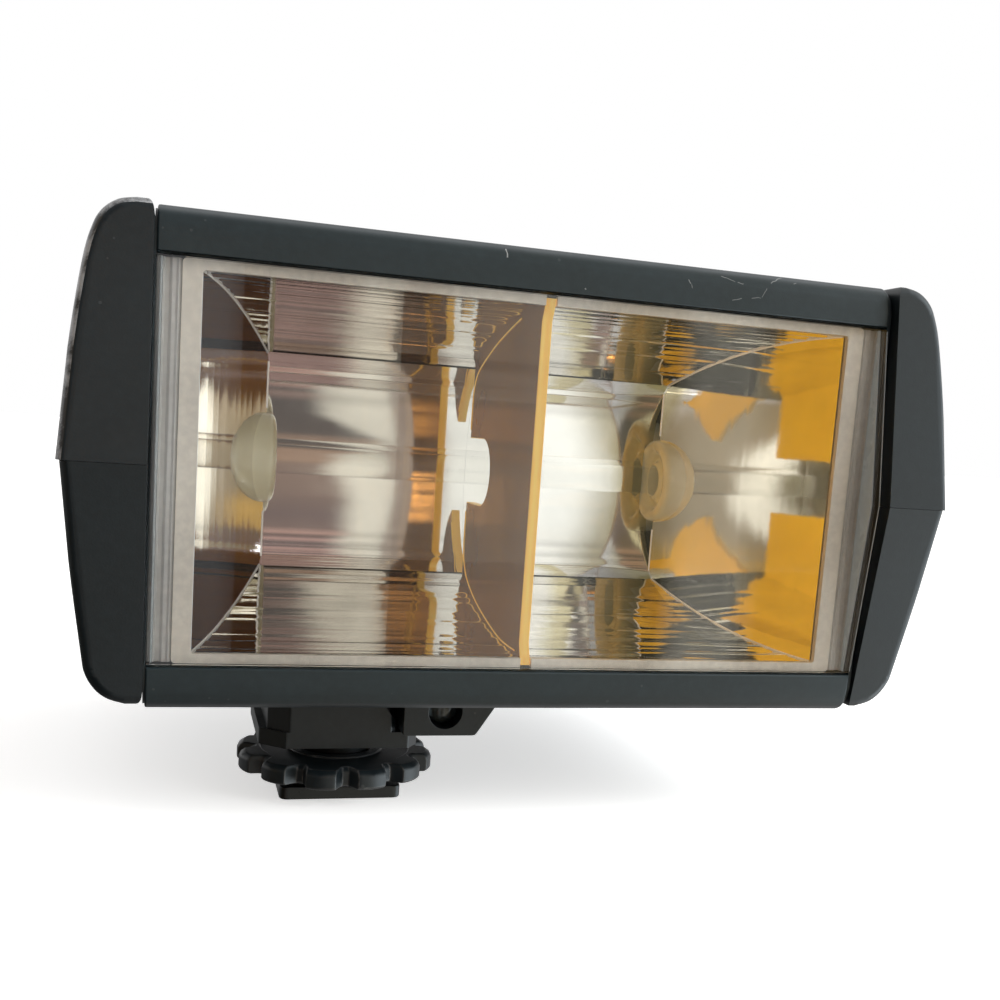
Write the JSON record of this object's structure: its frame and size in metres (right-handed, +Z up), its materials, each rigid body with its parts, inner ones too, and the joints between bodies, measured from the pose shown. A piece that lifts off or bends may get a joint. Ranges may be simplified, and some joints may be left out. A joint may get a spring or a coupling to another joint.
{
  "type": "camera flash",
  "caption": "Shoe-mount camera flash: wide clear-windowed head with a divided mirror reflector, tilting between the body's side arms, above a lock-wheel foot.",
  "frame": {"origin": "on the underside of the shoe foot, on its centre line, 5.3 mm in front of the centre contact", "axes": "+X to the right seen from the front, along the window; +Y to the back, where the controls are; +Z up"},
  "size_m": [0.1255, 0.102, 0.0826],
  "materials": {
    "black_shell": "satin black moulding, fine texture, worn edges",
    "black_panel": "satin black",
    "clear_window": "clear polished acrylic",
    "reflector_metal": "bright anodised aluminium sheet",
    "rim_sheet": "satin cream",
    "amber_plate": "amber, smooth",
    "lamp_glass": "clear quartz glass",
    "silicone": "milky translucent silicone",
    "steel": "plated",
    "brass": "bright",
    "nylon": "natural nylon",
    "board": "green laminate",
    "capacitor_sleeve": "dark shrink sleeve",
    "winding": "lacquered copper",
    "cell_jacket": "plain grey jacket",
    "lamp_orange": "translucent orange",
    "dial_grey": "satin grey with plain numbers",
    "sensor_lens": "dark clear lens"
  },
  "bodies": {
    "root": {"body_upper_shell": "black_shell", "body_lower_shell": "black_shell", "rear_panel": "black_panel", "foot_bracket": "black_shell", "foot_screw_1": "steel", "foot_screw_2": "steel", "sensor_housing": "black_shell", "sensor_lens": "sensor_lens", "photocell": "nylon", "foot_stem": "steel", "shoe_plate": "steel", "contact_pin": "brass", "pivot_bush_left": "nylon", "pivot_bush_right": "nylon", "tilt_detent_spring": "steel", "circuit_board": "board", "main_capacitor": "capacitor_sleeve", "step_up_transformer": "winding", "battery_box": "black_panel", "battery_cell_1": "cell_jacket", "battery_cell_2": "cell_jacket", "battery_cell_3": "cell_jacket", "battery_cell_4": "cell_jacket", "battery_contact_left": "steel", "battery_contact_right": "steel", "dial_scale_plate": "dial_grey", "dial_screw": "steel", "ready_lamp": "lamp_orange", "sync_socket": "steel", "case_screw_1": "steel", "case_screw_2": "steel", "door_hinge_pin": "steel", "test_button_spring": "steel"},
    "head": {"head_upper_shell": "black_shell", "head_lower_shell": "black_shell", "window": "clear_window", "reflector_rim_left": "rim_sheet", "reflector_rim_right": "rim_sheet", "reflector_trough_left": "reflector_metal", "reflector_trough_right": "reflector_metal", "reflector_end_left": "reflector_metal", "reflector_end_right": "reflector_metal", "cell_divider": "amber_plate", "flash_tube": "lamp_glass", "lamp_grommet_left": "silicone", "lamp_grommet_right": "silicone", "lamp_electrode_left": "steel", "lamp_electrode_right": "steel", "trigger_coil": "winding", "pivot_pin_left": "steel", "pivot_pin_right": "steel", "head_screw_1": "steel", "head_screw_2": "steel"},
    "foot_clamp": {"pressure_plate": "steel"},
    "wheel": {"lock_wheel": "black_shell"},
    "dial": {"calculator_dial": "black_panel"},
    "selector": {"mode_selector": "black_panel"},
    "switch": {"power_switch": "black_panel"},
    "button": {"test_button": "black_panel"},
    "door": {"battery_door": "black_panel"}
  },
  "joints": [
    {"name": "head_tilt", "type": "hinge", "parent": "root", "child": "head", "pos_m": [0.02285, 0.004, 0.0503], "axis": [-1, 0, 0], "range_deg": [0, 90]},
    {"name": "foot_clamp_slide", "type": "slide", "parent": "root", "child": "foot_clamp", "axis": [0, 0, 1], "range_m": [0, 0.00171]},
    {"name": "lock_wheel_turn", "type": "hinge", "parent": "foot_clamp", "child": "wheel", "pos_m": [0, 0.0053, 0.00315], "axis": [0, 0, 1], "range_deg": [0, 612]},
    {"name": "calculator_dial_turn", "type": "hinge", "parent": "root", "child": "dial", "pos_m": [-0.00755, 0.0732, 0.0533], "axis": [0, 1, 0], "continuous": true},
    {"name": "mode_selector_turn", "type": "hinge", "parent": "root", "child": "selector", "pos_m": [0.02085, 0.0723, 0.0513], "axis": [0, 1, 0], "range_deg": [0, 90]},
    {"name": "power_switch_slide", "type": "slide", "parent": "root", "child": "switch", "axis": [1, 0, 0], "range_m": [0, 0.0036]},
    {"name": "test_button_press", "type": "slide", "parent": "root", "child": "button", "axis": [0, -1, 0], "range_m": [0, 0.0012], "stiffness_N_per_m": 300, "springref_m": -0.001, "deforming": ["test_button_spring"]},
    {"name": "battery_door_swing", "type": "hinge", "parent": "root", "child": "door", "pos_m": [0.08025, 0.0736, 0.0503], "axis": [0, 0, -1], "range_deg": [0, 110]}
  ],
  "couplings": [
    {"joint": "foot_clamp_slide", "follows": "lock_wheel_turn", "m_per_rad": 0.00015915}
  ]
}
